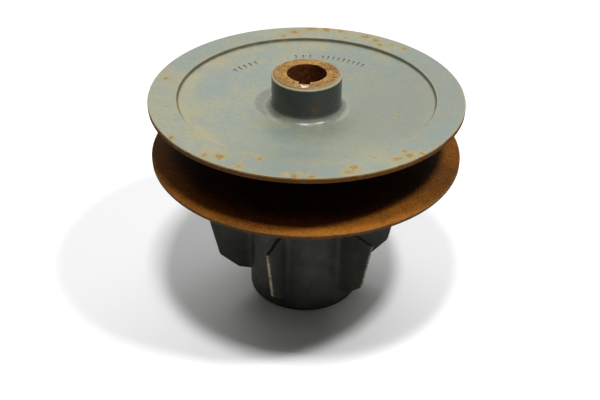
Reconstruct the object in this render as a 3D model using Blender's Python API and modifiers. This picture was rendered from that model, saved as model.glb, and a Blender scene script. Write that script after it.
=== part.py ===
"""Spring-loaded variable-speed V-belt pulley.

The pulley stands on the end of its spring pot, with +Z along the shaft axis and the keyway facing -Y.
A fixed disc is pressed on the top of a keyed steel sleeve. A sliding disc rides on the sleeve on two
guide bushes, turns with it through two drive keys, and is pushed up by a spring in the finned pot.
It is drawn closed, with the sliding disc at the top of its travel.
"""

import bmesh
import bpy
from math import cos, pi, radians, sin, tan
from mathutils import Matrix

MM = 0.001

# Driving dimensions
DISC_RADIUS = 112.5 * MM
GROOVE_HALF_ANGLE = radians(13)
TOTAL_HEIGHT = 182 * MM
FIXED_RIM_TOP = 166 * MM
FIXED_RIM_BOTTOM = 162.2 * MM
SLIDING_RIM_TOP = 122.2 * MM
SLIDING_RIM_BOTTOM = 119.1 * MM
SHAFT_RADIUS = 14 * MM
KEYWAY_WIDTH = 8 * MM
KEYWAY_DEPTH = 3.3 * MM
SLEEVE_RADIUS = 21 * MM
BOSS_RADIUS = 25 * MM
POT_RADIUS = 42.2 * MM
POT_RIM = 85 * MM
FIN_COUNT = 6
FIN_START = radians(-14.3)
FIN_TOP = 74.7 * MM

# Fits and small edges
GAP = 0.3 * MM
EDGE = 0.6 * MM
CUT_OVERRUN = 2 * MM
MERGE = 0.00001

# Both discs
RECESS_RADIUS = 92.4 * MM
RECESS_STEP = 0.8 * MM
HUB_FLAT_RADIUS = 31 * MM

# Fixed disc: its web falls towards the boss, as the groove face under it does
FIXED_WEB_OUTER_TOP = 163.7 * MM
FIXED_WEB_INNER_TOP = 154.9 * MM
BOSS_FILLET = 6 * MM
BOSS_FILLET_STEPS = 4
BOSS_CHAMFER_WIDTH = 2.8 * MM
BOSS_CHAMFER_DROP = 1.5 * MM

# Sliding disc and the parts in its hub: its web rises towards a collar that the spring seat bears on
SLIDING_WEB_OUTER_BOTTOM = 121.5 * MM
SLIDING_WEB_INNER_BOTTOM = 127.9 * MM
COLLAR_BOTTOM = 121.5 * MM
COLLAR_RADIUS = 38.5 * MM
SLIDING_HUB_RADIUS = 29.5 * MM
SLIDING_HUB_BOTTOM = 48 * MM
HUB_CLEARANCE_RADIUS = 23 * MM
BUSH_RADIUS = 24.5 * MM
BUSH_LENGTH = 21.4 * MM
WIPER_RADIUS = 25.7 * MM
WIPER_HEIGHT = 4 * MM
WIPER_SETBACK = 0.5 * MM
WIPER_LIP_WIDTH = 1 * MM
HUB_FILLET = 0.8 * MM

# Drive keys and their screws
KEY_BOTTOM = 80 * MM
KEY_TOP = 112 * MM
KEY_WIDTH = 8 * MM
KEY_OUTER = 26 * MM
DRIVE_GROOVE_DEPTH = 4 * MM
DRIVE_GROOVE_BOTTOM = 48 * MM
DRIVE_GROOVE_TOP = 114 * MM
SCREW_SPACING = 18 * MM
SCREW_RADIUS = 2.5 * MM
SCREW_HEAD_RADIUS = 4.5 * MM
SCREW_HEAD_HEIGHT = 2 * MM
SCREW_HEAD_RIM = 0.5 * MM
SCREW_TIP = 20 * MM
SCREW_INSET = 0.4 * MM
SOCKET_RADIUS = 1.7 * MM
SOCKET_DEPTH = 1.6 * MM

# Spring and its seats
SPRING_RADIUS = 33.6 * MM
WIRE_RADIUS = 3 * MM
SPRING_TURNS = 7.5
END_TURNS = 1
END_PITCH = 8.8 * MM
POINTS_PER_TURN = 20
SEAT_INNER = 30.5 * MM
SEAT_OUTER = 36.8 * MM
SEAT_THICKNESS = 2 * MM
UPPER_SEAT_THICKNESS = 3 * MM

# Spring pot
POT_INNER_RADIUS = 37.4 * MM
POT_FLOOR_TOP = 11.6 * MM
POT_FLOOR_BOTTOM = 6.6 * MM
POT_RECESS_RADIUS = 33 * MM
POT_FOOT_CHAMFER = 1.3 * MM
FIN_THICKNESS = 2.8 * MM
FIN_ROOT = 40 * MM
FIN_OUTLINE = (
    (FIN_ROOT, FIN_TOP),
    (76 * MM, FIN_TOP),
    (66.7 * MM, 30.8 * MM),
    (52.5 * MM, 17.5 * MM),
    (FIN_ROOT, 14.6 * MM),
)

# Lower end of the sleeve, its washer and its retaining ring
SLEEVE_BOTTOM = 1 * MM
SLEEVE_END_RADIUS = 18 * MM
WASHER_RADIUS = 27 * MM
WASHER_THICKNESS = 2 * MM
RING_GROOVE_RADIUS = 16.9 * MM
RING_THICKNESS = 1.5 * MM
RING_RADIUS = 20.2 * MM
RING_SWELL = 0.9 * MM
RING_GAP = radians(26)
LUG_RADIUS = 2.3 * MM
LUG_HOLE_RADIUS = 1 * MM

# Buffer ring between the discs
STOP_INNER = 22 * MM
STOP_OUTER = 30.5 * MM

# Facets around a full turn or a lug, and the angle above which an edge is sharp
LARGE_SEGMENTS = 72
MEDIUM_SEGMENTS = 48
SMALL_SEGMENTS = 20
LUG_STEPS = 8
SHARP_ANGLE = radians(30)

# Signs of X and the names used for them
SIDES = ((1, "right"), (-1, "left"))

PARTS = "v_belt_pulley"
TOOLS = "v_belt_pulley_cutters"


def clear_scene():
    for item in list(bpy.data.objects):
        bpy.data.objects.remove(item, do_unlink=True)


def make_collection(name):
    group = bpy.data.collections.new(name)
    bpy.context.scene.collection.children.link(group)


def make_material(name, colour, roughness, metallic):
    material = bpy.data.materials.new(name)
    material.use_nodes = True
    shader = material.node_tree.nodes["Principled BSDF"]
    shader.inputs["Base Color"].default_value = (*colour, 1)
    shader.inputs["Roughness"].default_value = roughness
    shader.inputs["Metallic"].default_value = metallic
    material.diffuse_color = (*colour, 1)
    return material


def add_part(name, mesh, material):
    mesh.materials.clear()
    mesh.materials.append(material)
    part = bpy.data.objects.new(name, mesh)
    bpy.data.collections[PARTS].objects.link(part)
    return part


def add_tool(name, mesh):
    tool = bpy.data.objects.new(name, mesh)
    bpy.data.collections[TOOLS].objects.link(tool)
    tool.hide_render = True
    tool.display_type = 'WIRE'
    return tool


def evaluated_mesh(item):
    """Mesh of an object with its modifiers applied. The object is removed."""
    bpy.data.collections[TOOLS].objects.link(item)
    depsgraph = bpy.context.evaluated_depsgraph_get()
    mesh = bpy.data.meshes.new_from_object(item.evaluated_get(depsgraph))
    bpy.data.objects.remove(item)
    return mesh


def smooth(mesh):
    mesh.shade_smooth()
    mesh.set_sharp_from_angle(angle=SHARP_ANGLE)


def turned_mesh(name, profile, segments, closed=True):
    """Shape turned from (radius, height) points that run down its outer side."""
    wire = bpy.data.meshes.new(name)
    shape = bmesh.new()
    corners = [shape.verts.new((radius, 0, height)) for radius, height in profile]
    ends = corners[1:] + corners[:1] if closed else corners[1:]
    for first, second in zip(corners, ends):
        shape.edges.new((first, second))
    shape.to_mesh(wire)
    shape.free()
    item = bpy.data.objects.new(name, wire)
    spin = item.modifiers.new("turned", 'SCREW')
    spin.axis = 'Z'
    spin.angle = 2 * pi
    spin.steps = segments
    spin.render_steps = segments
    spin.use_merge_vertices = True
    spin.merge_threshold = MERGE
    mesh = evaluated_mesh(item)
    smooth(mesh)
    return mesh


def turned_part(name, profile, segments, material):
    """Ring-like part from a closed loop around its section."""
    return add_part(name, turned_mesh(name, profile, segments), material)


def ring_part(name, inner, outer, bottom, top, material):
    profile = [(inner, top), (outer, top), (outer, bottom), (inner, bottom)]
    return turned_part(name, profile, MEDIUM_SEGMENTS, material)


def box_mesh(name, low, high):
    mesh = bpy.data.meshes.new(name)
    shape = bmesh.new()
    size = [b - a for a, b in zip(low, high)]
    centre = [(a + b) / 2 for a, b in zip(low, high)]
    bmesh.ops.create_cube(shape, size=1, matrix=Matrix.Translation(centre) @ Matrix.Diagonal((*size, 1)))
    shape.to_mesh(mesh)
    shape.free()
    return mesh


def prism_mesh(name, radius, sides, depth, centre):
    """Upright prism, or cylinder, around its centre point."""
    mesh = bpy.data.meshes.new(name)
    shape = bmesh.new()
    bmesh.ops.create_cone(shape, cap_ends=True, segments=sides, radius1=radius, radius2=radius,
                          depth=depth, matrix=Matrix.Translation(centre))
    shape.to_mesh(mesh)
    shape.free()
    return mesh


def combine(part, tool, operation):
    step = part.modifiers.new(f"{operation.lower()} {tool.name}", 'BOOLEAN')
    step.operation = operation
    step.object = tool


def curve_mesh(name, curve):
    """Closed mesh of a filled curve, with its caps welded on."""
    mesh = evaluated_mesh(bpy.data.objects.new(name, curve))
    shape = bmesh.new()
    shape.from_mesh(mesh)
    bmesh.ops.remove_doubles(shape, verts=shape.verts, dist=MERGE)
    shape.to_mesh(mesh)
    shape.free()
    smooth(mesh)
    return mesh


def plate_mesh(name, outline, thickness):
    """Flat plate with this outline, centred on its own XY plane."""
    curve = bpy.data.curves.new(name, 'CURVE')
    curve.dimensions = '2D'
    curve.fill_mode = 'BOTH'
    curve.extrude = thickness / 2
    spline = curve.splines.new('POLY')
    spline.points.add(len(outline) - 1)
    for point, (x, y) in zip(spline.points, outline):
        point.co = (x, y, 0, 1)
    spline.use_cyclic_u = True
    return curve_mesh(name, curve)


def groove_rise(radius):
    """Height that a groove face gains from the rim to this radius."""
    return (DISC_RADIUS - radius) * tan(GROOVE_HALF_ANGLE)


def sliding_flat():
    return SLIDING_RIM_TOP + groove_rise(HUB_FLAT_RADIUS)


def fixed_flat():
    return FIXED_RIM_BOTTOM - groove_rise(HUB_FLAT_RADIUS)


def boss_fillet():
    """Quarter circle from the boss's side out to the web."""
    points = []
    for index in range(BOSS_FILLET_STEPS + 1):
        angle = pi + pi / 2 * index / BOSS_FILLET_STEPS
        points.append((BOSS_RADIUS + BOSS_FILLET * (1 + cos(angle)),
                       FIXED_WEB_INNER_TOP + BOSS_FILLET * (1 + sin(angle))))
    return points


def build_fixed_disc(material):
    bore = SLEEVE_RADIUS + GAP
    profile = [
        (bore, TOTAL_HEIGHT),
        (BOSS_RADIUS - BOSS_CHAMFER_WIDTH, TOTAL_HEIGHT),
        (BOSS_RADIUS, TOTAL_HEIGHT - BOSS_CHAMFER_DROP),
        *boss_fillet(),
        (RECESS_RADIUS - RECESS_STEP, FIXED_WEB_OUTER_TOP),
        (RECESS_RADIUS, FIXED_RIM_TOP),
        (DISC_RADIUS - EDGE, FIXED_RIM_TOP),
        (DISC_RADIUS, FIXED_RIM_TOP - EDGE),
        (DISC_RADIUS, FIXED_RIM_BOTTOM),
        (HUB_FLAT_RADIUS, fixed_flat()),
        (bore, fixed_flat()),
    ]
    turned_part("fixed_disc", profile, LARGE_SEGMENTS, material)


def washer_top():
    return POT_FLOOR_BOTTOM - GAP


def ring_groove():
    """Bottom and top of the groove for the retaining ring, just under the washer."""
    top = washer_top() - WASHER_THICKNESS
    return top - RING_THICKNESS - 2 * GAP, top


def build_hub_sleeve(material):
    shoulder = POT_FLOOR_TOP + GAP
    groove_bottom, groove_top = ring_groove()
    profile = [
        (SHAFT_RADIUS + EDGE, TOTAL_HEIGHT),
        (SLEEVE_RADIUS, TOTAL_HEIGHT),
        (SLEEVE_RADIUS, shoulder),
        (SLEEVE_END_RADIUS, shoulder),
        (SLEEVE_END_RADIUS, groove_top),
        (RING_GROOVE_RADIUS, groove_top),
        (RING_GROOVE_RADIUS, groove_bottom),
        (SLEEVE_END_RADIUS, groove_bottom),
        (SLEEVE_END_RADIUS, SLEEVE_BOTTOM + EDGE),
        (SLEEVE_END_RADIUS - EDGE, SLEEVE_BOTTOM),
        (SHAFT_RADIUS + EDGE, SLEEVE_BOTTOM),
        (SHAFT_RADIUS, SLEEVE_BOTTOM + EDGE),
        (SHAFT_RADIUS, TOTAL_HEIGHT - EDGE),
    ]
    sleeve = turned_part("hub_sleeve", profile, MEDIUM_SEGMENTS, material)
    keyway = box_mesh("keyway_cutter",
                      (-KEYWAY_WIDTH / 2, -SHAFT_RADIUS - KEYWAY_DEPTH, SLEEVE_BOTTOM - CUT_OVERRUN),
                      (KEYWAY_WIDTH / 2, -SHAFT_RADIUS / 2, TOTAL_HEIGHT + CUT_OVERRUN))
    combine(sleeve, add_tool("keyway_cutter", keyway), 'DIFFERENCE')
    half = KEY_WIDTH / 2 + GAP
    for side, label in SIDES:
        ends = sorted((side * (SLEEVE_RADIUS - DRIVE_GROOVE_DEPTH), side * (SLEEVE_RADIUS + CUT_OVERRUN)))
        name = f"drive_groove_cutter_{label}"
        groove = box_mesh(name, (ends[0], -half, DRIVE_GROOVE_BOTTOM), (ends[1], half, DRIVE_GROOVE_TOP))
        combine(sleeve, add_tool(name, groove), 'DIFFERENCE')


def screw_profile(clearance, overrun):
    """Countersunk screw, or the hole for it, along +Z with its head outwards."""
    head_top = SLIDING_HUB_RADIUS - SCREW_INSET
    neck = head_top - SCREW_HEAD_HEIGHT
    head = SCREW_HEAD_RADIUS + clearance
    shank = SCREW_RADIUS + clearance
    return [
        (0, head_top + overrun),
        (head, head_top + overrun),
        (head, head_top - SCREW_HEAD_RIM - clearance),
        (shank, neck - clearance),
        (shank, SCREW_TIP - clearance),
        (0, SCREW_TIP - clearance),
    ]


def screw_places():
    """Label, turn about Y and height of each drive key screw."""
    middle = (KEY_BOTTOM + KEY_TOP) / 2
    for side, label in SIDES:
        for step, level in ((-1, "lower"), (1, "upper")):
            yield f"{label}_{level}", side * pi / 2, middle + step * SCREW_SPACING / 2


def place_radially(item, turn_about_y, height):
    item.location = (0, 0, height)
    item.rotation_euler = (0, turn_about_y, 0)


def build_screw_holes():
    holes = []
    for label, angle, height in screw_places():
        name = f"screw_hole_cutter_{label}"
        mesh = turned_mesh(name, screw_profile(GAP, CUT_OVERRUN), SMALL_SEGMENTS, closed=False)
        hole = add_tool(name, mesh)
        place_radially(hole, angle, height)
        holes.append(hole)
    return holes


def build_sliding_disc(material, holes):
    flat = sliding_flat()
    wiper_pocket = WIPER_RADIUS + GAP
    wiper_depth = WIPER_SETBACK + WIPER_HEIGHT + GAP
    bush_pocket = BUSH_RADIUS + GAP
    bush_depth = wiper_depth + BUSH_LENGTH + 2 * GAP
    profile = [
        (wiper_pocket, flat),
        (HUB_FLAT_RADIUS, flat),
        (DISC_RADIUS, SLIDING_RIM_TOP),
        (DISC_RADIUS, SLIDING_RIM_BOTTOM + EDGE),
        (DISC_RADIUS - EDGE, SLIDING_RIM_BOTTOM),
        (RECESS_RADIUS, SLIDING_RIM_BOTTOM),
        (RECESS_RADIUS - RECESS_STEP, SLIDING_WEB_OUTER_BOTTOM),
        (COLLAR_RADIUS, SLIDING_WEB_INNER_BOTTOM),
        (COLLAR_RADIUS, COLLAR_BOTTOM),
        (SLIDING_HUB_RADIUS + HUB_FILLET, COLLAR_BOTTOM),
        (SLIDING_HUB_RADIUS, COLLAR_BOTTOM - HUB_FILLET),
        (SLIDING_HUB_RADIUS, SLIDING_HUB_BOTTOM + EDGE),
        (SLIDING_HUB_RADIUS - EDGE, SLIDING_HUB_BOTTOM),
        (wiper_pocket, SLIDING_HUB_BOTTOM),
        (wiper_pocket, SLIDING_HUB_BOTTOM + wiper_depth),
        (bush_pocket, SLIDING_HUB_BOTTOM + wiper_depth),
        (bush_pocket, SLIDING_HUB_BOTTOM + bush_depth),
        (HUB_CLEARANCE_RADIUS, SLIDING_HUB_BOTTOM + bush_depth),
        (HUB_CLEARANCE_RADIUS, flat - bush_depth),
        (bush_pocket, flat - bush_depth),
        (bush_pocket, flat - wiper_depth),
        (wiper_pocket, flat - wiper_depth),
    ]
    disc = turned_part("sliding_disc", profile, LARGE_SEGMENTS, material)
    half = KEY_WIDTH / 2 + GAP
    for side, label in SIDES:
        ends = sorted((side * SLEEVE_RADIUS, side * (KEY_OUTER + GAP)))
        name = f"key_pocket_cutter_{label}"
        pocket = box_mesh(name, (ends[0], -half, KEY_BOTTOM - GAP), (ends[1], half, KEY_TOP + GAP))
        combine(disc, add_tool(name, pocket), 'DIFFERENCE')
    for hole in holes:
        combine(disc, hole, 'DIFFERENCE')
    return disc


def build_bushes_and_wipers(bush_material, wiper_material):
    inner = SLEEVE_RADIUS + GAP
    wiper_depth = WIPER_SETBACK + WIPER_HEIGHT + GAP
    moving = []
    for label, end, inwards in (("upper", sliding_flat(), -1), ("lower", SLIDING_HUB_BOTTOM, 1)):
        near = end + inwards * (wiper_depth + GAP)
        bottom, top = sorted((near, near + inwards * BUSH_LENGTH))
        moving.append(ring_part(f"guide_bush_{label}", inner, BUSH_RADIUS, bottom, top, bush_material))
        lip = end + inwards * WIPER_SETBACK
        back = lip + inwards * WIPER_HEIGHT
        section = [(inner, lip), (WIPER_RADIUS, lip), (WIPER_RADIUS, back),
                   (inner + WIPER_LIP_WIDTH, back)]
        if inwards > 0:
            section.reverse()
        moving.append(turned_part(f"wiper_ring_{label}", section, MEDIUM_SEGMENTS, wiper_material))
    return moving


def build_drive_keys(material, holes):
    moving = []
    inner = SLEEVE_RADIUS - DRIVE_GROOVE_DEPTH + GAP
    for side, label in SIDES:
        ends = sorted((side * inner, side * KEY_OUTER))
        name = f"drive_key_{label}"
        mesh = box_mesh(name, (ends[0], -KEY_WIDTH / 2, KEY_BOTTOM), (ends[1], KEY_WIDTH / 2, KEY_TOP))
        key = add_part(name, mesh, material)
        for hole in holes:
            if label in hole.name:
                combine(key, hole, 'DIFFERENCE')
        moving.append(key)
    return moving


def build_key_screws(material):
    moving = []
    socket_depth = SOCKET_DEPTH + CUT_OVERRUN
    socket_centre = SLIDING_HUB_RADIUS - SCREW_INSET + CUT_OVERRUN - socket_depth / 2
    for label, angle, height in screw_places():
        name = f"key_screw_{label}"
        mesh = turned_mesh(name, screw_profile(0, 0), SMALL_SEGMENTS, closed=False)
        screw = add_part(name, mesh, material)
        name = f"socket_cutter_{label}"
        socket = add_tool(name, prism_mesh(name, SOCKET_RADIUS, 6, socket_depth, (0, 0, socket_centre)))
        combine(screw, socket, 'DIFFERENCE')
        place_radially(screw, angle, height)
        place_radially(socket, angle, height)
        moving.append(screw)
    return moving


def build_stop_ring(material):
    return ring_part("stop_ring", STOP_INNER, STOP_OUTER,
                     sliding_flat() + GAP, fixed_flat() - GAP, material)


def upper_seat_bottom():
    return COLLAR_BOTTOM - GAP - UPPER_SEAT_THICKNESS


def lower_seat_top():
    return POT_FLOOR_TOP + GAP + SEAT_THICKNESS


def build_spring_seats(material):
    bottom = upper_seat_bottom()
    upper = ring_part("spring_seat_upper", SEAT_INNER, SEAT_OUTER,
                      bottom, bottom + UPPER_SEAT_THICKNESS, material)
    top = lower_seat_top()
    ring_part("spring_seat_lower", SEAT_INNER, SEAT_OUTER, top - SEAT_THICKNESS, top, material)
    return upper


def spring_height(turns, bottom, top):
    """Height of the wire after this many turns, with a closer pitch at both ends."""
    middle_turns = SPRING_TURNS - 2 * END_TURNS
    middle_pitch = (top - bottom - 2 * END_TURNS * END_PITCH) / middle_turns
    height = bottom + min(turns, END_TURNS) * END_PITCH
    height += max(0, min(turns - END_TURNS, middle_turns)) * middle_pitch
    return height + max(0, turns - END_TURNS - middle_turns) * END_PITCH


def build_spring(material):
    bottom = lower_seat_top() + GAP + WIRE_RADIUS
    top = upper_seat_bottom() - GAP - WIRE_RADIUS
    count = round(SPRING_TURNS * POINTS_PER_TURN)
    curve = bpy.data.curves.new("compression_spring", 'CURVE')
    curve.dimensions = '3D'
    curve.bevel_depth = WIRE_RADIUS
    curve.bevel_resolution = 2
    curve.use_fill_caps = True
    spline = curve.splines.new('POLY')
    spline.points.add(count)
    for index, point in enumerate(spline.points):
        turns = index / POINTS_PER_TURN
        angle = 2 * pi * turns
        height = spring_height(turns, bottom, top)
        point.co = (SPRING_RADIUS * cos(angle), SPRING_RADIUS * sin(angle), height, 1)
    add_part("compression_spring", curve_mesh("compression_spring", curve), material)


def build_spring_pot(material):
    profile = [
        (POT_INNER_RADIUS + EDGE, POT_RIM),
        (POT_RADIUS - EDGE, POT_RIM),
        (POT_RADIUS, POT_RIM - EDGE),
        (POT_RADIUS, POT_FOOT_CHAMFER),
        (POT_RADIUS - POT_FOOT_CHAMFER, 0),
        (POT_RECESS_RADIUS, 0),
        (POT_RECESS_RADIUS, POT_FLOOR_BOTTOM),
        (SLEEVE_END_RADIUS + GAP, POT_FLOOR_BOTTOM),
        (SLEEVE_END_RADIUS + GAP, POT_FLOOR_TOP),
        (POT_INNER_RADIUS, POT_FLOOR_TOP),
        (POT_INNER_RADIUS, POT_RIM - EDGE),
    ]
    pot = turned_part("spring_pot", profile, MEDIUM_SEGMENTS, material)
    outline = [(radius, height) for radius, height in FIN_OUTLINE]
    fin_mesh = plate_mesh("cooling_fin", outline, FIN_THICKNESS)
    for index in range(FIN_COUNT):
        fin = add_tool(f"cooling_fin_{index + 1}", fin_mesh)
        azimuth = FIN_START + index * 2 * pi / FIN_COUNT
        fin.rotation_euler = (pi / 2, 0, azimuth - pi / 2)
        combine(pot, fin, 'UNION')


def build_support_washer(material):
    top = washer_top()
    ring_part("support_washer", SLEEVE_END_RADIUS + GAP, WASHER_RADIUS,
              top - WASHER_THICKNESS, top, material)


def ring_arc(radius, swell):
    """Points from one end of the retaining ring to the other, widest opposite its gap."""
    start = -pi / 2 + RING_GAP / 2
    sweep = 2 * pi - RING_GAP
    points = []
    for index in range(MEDIUM_SEGMENTS + 1):
        angle = start + sweep * index / MEDIUM_SEGMENTS
        reach = radius + swell * sin(angle)
        points.append((reach * cos(angle), reach * sin(angle)))
    return points


def lug_arc(centre_reach, end_angle, side):
    """Half circle round a lug, bulging into the ring's gap, from its outside to its inside."""
    centre = (centre_reach * cos(end_angle), centre_reach * sin(end_angle))
    points = []
    for index in range(LUG_STEPS + 1):
        angle = end_angle + side * pi * index / LUG_STEPS
        points.append((centre[0] + LUG_RADIUS * cos(angle), centre[1] + LUG_RADIUS * sin(angle)))
    return points


def build_retaining_ring(material):
    groove_bottom, groove_top = ring_groove()
    height = (groove_bottom + groove_top) / 2
    inner = RING_GROOVE_RADIUS + GAP
    reach = inner + LUG_RADIUS
    start = -pi / 2 + RING_GAP / 2
    end = start + 2 * pi - RING_GAP
    outline = ring_arc(RING_RADIUS, RING_SWELL) + lug_arc(reach, end, 1)
    outline += ring_arc(inner, 0)[-2:0:-1] + lug_arc(reach, start, -1)[::-1]
    ring = add_part("retaining_ring", plate_mesh("retaining_ring", outline, RING_THICKNESS), material)
    ring.location = (0, 0, height)
    for angle, label in ((start, "right"), (end, "left")):
        name = f"lug_hole_cutter_{label}"
        place = (reach * cos(angle), reach * sin(angle), height)
        hole = prism_mesh(name, LUG_HOLE_RADIUS, SMALL_SEGMENTS, RING_THICKNESS + CUT_OVERRUN, place)
        combine(ring, add_tool(name, hole), 'DIFFERENCE')


def build_sliding_group(moving):
    """Everything that slides hangs from one empty on the shaft axis."""
    axis = bpy.data.objects.new("slide_axis", None)
    axis.location = (0, 0, sliding_flat())
    bpy.data.collections[PARTS].objects.link(axis)
    for piece in moving:
        piece.parent = axis
        piece.matrix_parent_inverse = Matrix.Translation((0, 0, -sliding_flat()))


def main():
    clear_scene()
    make_collection(PARTS)
    make_collection(TOOLS)
    paint = make_material("grey_green_paint", (0.32, 0.36, 0.31), 0.5, 0)
    pot_paint = make_material("dark_grey_green_paint", (0.10, 0.11, 0.10), 0.6, 0)
    rust = make_material("rusty_iron", (0.36, 0.15, 0.05), 0.8, 0.2)
    steel = make_material("machined_steel", (0.45, 0.30, 0.18), 0.5, 0.8)
    bright = make_material("bright_steel", (0.55, 0.55, 0.55), 0.3, 1)
    spring_steel = make_material("spring_steel", (0.09, 0.09, 0.10), 0.4, 0.8)
    bronze = make_material("sintered_bronze", (0.45, 0.29, 0.12), 0.4, 1)
    rubber = make_material("black_rubber", (0.02, 0.02, 0.02), 0.8, 0)

    build_fixed_disc(paint)
    build_hub_sleeve(steel)
    build_stop_ring(rubber)
    build_spring_pot(pot_paint)
    build_support_washer(bright)
    build_retaining_ring(spring_steel)
    build_spring(spring_steel)

    holes = build_screw_holes()
    moving = [build_sliding_disc(rust, holes), build_spring_seats(bright)]
    moving += build_bushes_and_wipers(bronze, rubber)
    moving += build_drive_keys(bright, holes)
    moving += build_key_screws(spring_steel)
    build_sliding_group(moving)


main()
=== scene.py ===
"""Looks of a spring-loaded variable-speed V-belt pulley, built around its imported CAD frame.

The cast discs, the sleeve, the finned pot and the spring are made again with rounded edges and cast
fillets, and every piece gets a worn, painted, rusty or oiled procedural material.
"""

from collections import namedtuple
from math import atan2, ceil, cos, pi, radians, sin, sqrt, tan

import bmesh
import bpy
from mathutils import Matrix, Vector


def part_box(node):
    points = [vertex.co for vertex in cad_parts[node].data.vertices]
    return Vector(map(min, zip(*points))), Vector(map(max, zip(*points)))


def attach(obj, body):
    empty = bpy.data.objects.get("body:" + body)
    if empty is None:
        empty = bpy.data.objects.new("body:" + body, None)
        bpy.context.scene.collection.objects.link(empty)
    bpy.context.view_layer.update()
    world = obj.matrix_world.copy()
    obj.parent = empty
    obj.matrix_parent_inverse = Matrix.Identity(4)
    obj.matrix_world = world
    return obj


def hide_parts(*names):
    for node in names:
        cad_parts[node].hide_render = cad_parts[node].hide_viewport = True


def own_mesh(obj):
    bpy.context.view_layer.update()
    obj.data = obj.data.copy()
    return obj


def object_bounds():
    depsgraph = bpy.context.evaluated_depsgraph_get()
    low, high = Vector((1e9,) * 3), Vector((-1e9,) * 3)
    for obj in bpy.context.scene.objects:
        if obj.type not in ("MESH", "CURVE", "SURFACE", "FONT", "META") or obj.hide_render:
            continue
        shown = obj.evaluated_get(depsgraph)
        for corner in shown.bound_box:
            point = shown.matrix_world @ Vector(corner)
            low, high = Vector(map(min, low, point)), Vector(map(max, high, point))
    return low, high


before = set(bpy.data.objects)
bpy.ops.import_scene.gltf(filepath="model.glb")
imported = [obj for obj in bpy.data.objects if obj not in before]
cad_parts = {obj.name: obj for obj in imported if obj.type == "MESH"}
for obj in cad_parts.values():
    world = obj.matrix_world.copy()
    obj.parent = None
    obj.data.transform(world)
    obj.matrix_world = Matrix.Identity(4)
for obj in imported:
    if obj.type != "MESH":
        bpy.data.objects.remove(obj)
cad_low, cad_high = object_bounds()

MM = 0.001
FIXED = "hub_assembly"
SLIDING = "sliding_disc_assembly"

# The camera, looking down at the pulley on a table
CAMERA_PLACE = (0.0671, -0.6388, 0.5074)
CAMERA_TARGET = (-0.0039, -0.0004, 0.0741)
CAMERA_ROLL = radians(0.58)
CAMERA_LENS = 60.98
SENSOR_WIDTH = 36

# Sizes of the turned pieces, within a millimetre of the CAD model's
DISC_RADIUS = cad_high.x
TOTAL_HEIGHT = cad_high.z
GROOVE_SLOPE = tan(radians(13))
PRESS_GAP = 0.05 * MM
RECESS_RADIUS = 92.4 * MM
RECESS_STEP = 0.8 * MM
HUB_FLAT_RADIUS = 31 * MM
FIXED_RIM_TOP = 166 * MM
FIXED_RIM_BOTTOM = 162.2 * MM
FIXED_WEB_OUTER = 163.7 * MM
FIXED_WEB_INNER = 154.0 * MM
BOSS_RADIUS = 25 * MM
BOSS_FILLET = 6 * MM
CHAMFER_WIDTH = 2.8 * MM
CHAMFER_DROP = 1.5 * MM
SLIDING_RIM_TOP = 122.2 * MM
SLIDING_RIM_BOTTOM = 119.1 * MM
SLIDING_WEB_OUTER = 121.5 * MM
SLIDING_WEB_INNER = 127.9 * MM
COLLAR_BOTTOM = 121.5 * MM
COLLAR_RADIUS = 38.5 * MM
SLIDING_HUB_RADIUS = 29.5 * MM
WIPER_SEAT_RADIUS = 26 * MM
WIPER_SEAT_DEPTH = 4.8 * MM
BUSH_SEAT_RADIUS = 24.8 * MM
BUSH_SEAT_DEPTH = 26.8 * MM
HUB_CLEARANCE_RADIUS = 23 * MM
SHAFT_RADIUS = 14 * MM
SLEEVE_RADIUS = 21 * MM
SLEEVE_SHOULDER = 11.9 * MM
SLEEVE_END_RADIUS = 18 * MM
RING_GROOVE_RADIUS = 16.9 * MM
RING_GROOVE_TOP = 4.3 * MM
RING_GROOVE_BOTTOM = 2.2 * MM
KEYWAY_WIDTH = 8 * MM
KEYWAY_DEPTH = 3.3 * MM
STOP_INNER = 22 * MM
SEAT_INNER = 30.5 * MM
WASHER_INNER = 18.3 * MM
POT_RADIUS = 42.2 * MM
POT_RIM = 85 * MM
POT_INNER_RADIUS = 37.4 * MM
POT_RECESS_RADIUS = 33 * MM
POT_FLOOR_TOP = 11.6 * MM
POT_FLOOR_BOTTOM = 6.6 * MM
SPRING_RADIUS = 33.6 * MM
WIRE_RADIUS = 3 * MM
SPRING_TURNS = 7.5
END_TURNS = 1
END_PITCH = 8.8 * MM

# Slots for the drive keys, in the sleeve and in the sliding hub, and holes for the keys' screws
KEY_SLOT_HALF_WIDTH = 4.3 * MM
DRIVE_GROOVE_DEPTH = 4 * MM
DRIVE_GROOVE_BOTTOM = 48 * MM
DRIVE_GROOVE_TOP = 114 * MM
KEY_POCKET_RADIUS = 26.3 * MM
KEY_POCKET_BOTTOM = 79.7 * MM
KEY_POCKET_TOP = 112.3 * MM
SCREW_HEIGHTS = (87 * MM, 105 * MM)
SCREW_HOLE_RADIUS = 4.8 * MM
SCREW_HOLE_START = 28.4 * MM
SCREW_HOLE_END = 32 * MM
CUT_OVERRUN = 2 * MM

# Fins: azimuth of the first one from -Y towards +X, and (height, radius) down their outer edge
FIN_START = radians(-14.3)
FIN_COUNT = 6
FIN_TOP = 74.7 * MM
FIN_FOOT = 15.25 * MM
FIN_BELLY = 18.1 * MM
FIN_EDGE = ((14.6 * MM, 40 * MM), (17.5 * MM, 52.5 * MM), (30.8 * MM, 66.7 * MM), (FIN_TOP, 76 * MM))
FIN_HALF_ROOT = 1.7 * MM
FIN_HALF_TIP = 1.25 * MM
FIN_FILLET = 5 * MM
FIN_ROUND = 0.8 * MM
FIN_EASE = 0.25 * MM
FIN_ROOT_RADIUS = POT_RADIUS - 2.5 * MM
FIN_FOOT_DROP = 2 * MM
FILLET_BITE = 0.25 * MM

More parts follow.
